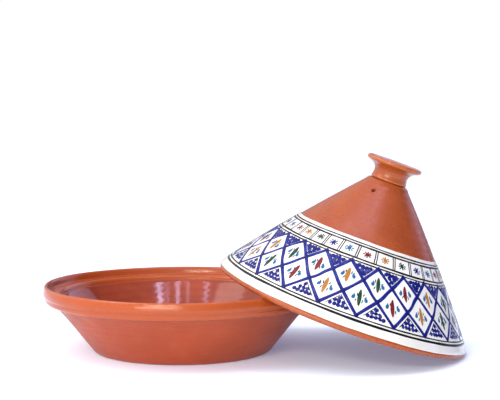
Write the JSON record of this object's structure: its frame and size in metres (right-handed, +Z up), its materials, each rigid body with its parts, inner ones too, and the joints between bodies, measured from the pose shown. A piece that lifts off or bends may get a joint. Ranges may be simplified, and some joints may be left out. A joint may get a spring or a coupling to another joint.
{
  "type": "tagine pot",
  "caption": "Round terracotta cooking pot: a low bowl with a lid gallery, and a tall painted cone lid with a knob and steam hole that leans on the bowl's rim.",
  "frame": {"origin": "middle of the bowl's flat foot, on the surface that it stands on", "axes": "+Z up, out of the bowl's mouth; +X from the bowl towards the side where the lid's rim rests on the table; +Y completes the right-handed set"},
  "size_m": [0.4827, 0.3244, 0.2271],
  "materials": {
    "bowl_clay": "satin terracotta",
    "bowl_glaze": "clear glossy glaze on red clay",
    "lid_clay": "satin terracotta",
    "knob_clay": "burnished terracotta",
    "lid_white_glaze": "glossy white ground with painted lattice"
  },
  "bodies": {
    "bowl": {"bowl_body": "bowl_clay", "bowl_glaze_lining": "bowl_glaze"},
    "lid": {"lid_cone": "lid_clay", "lid_knob": "knob_clay", "lid_glaze_band": "lid_white_glaze"}
  },
  "joints": [
    {"name": "lid_lift", "type": "slide", "parent": "bowl", "child": "lid", "axis": [0, 0, 1], "range_m": [0, 0.25]}
  ]
}
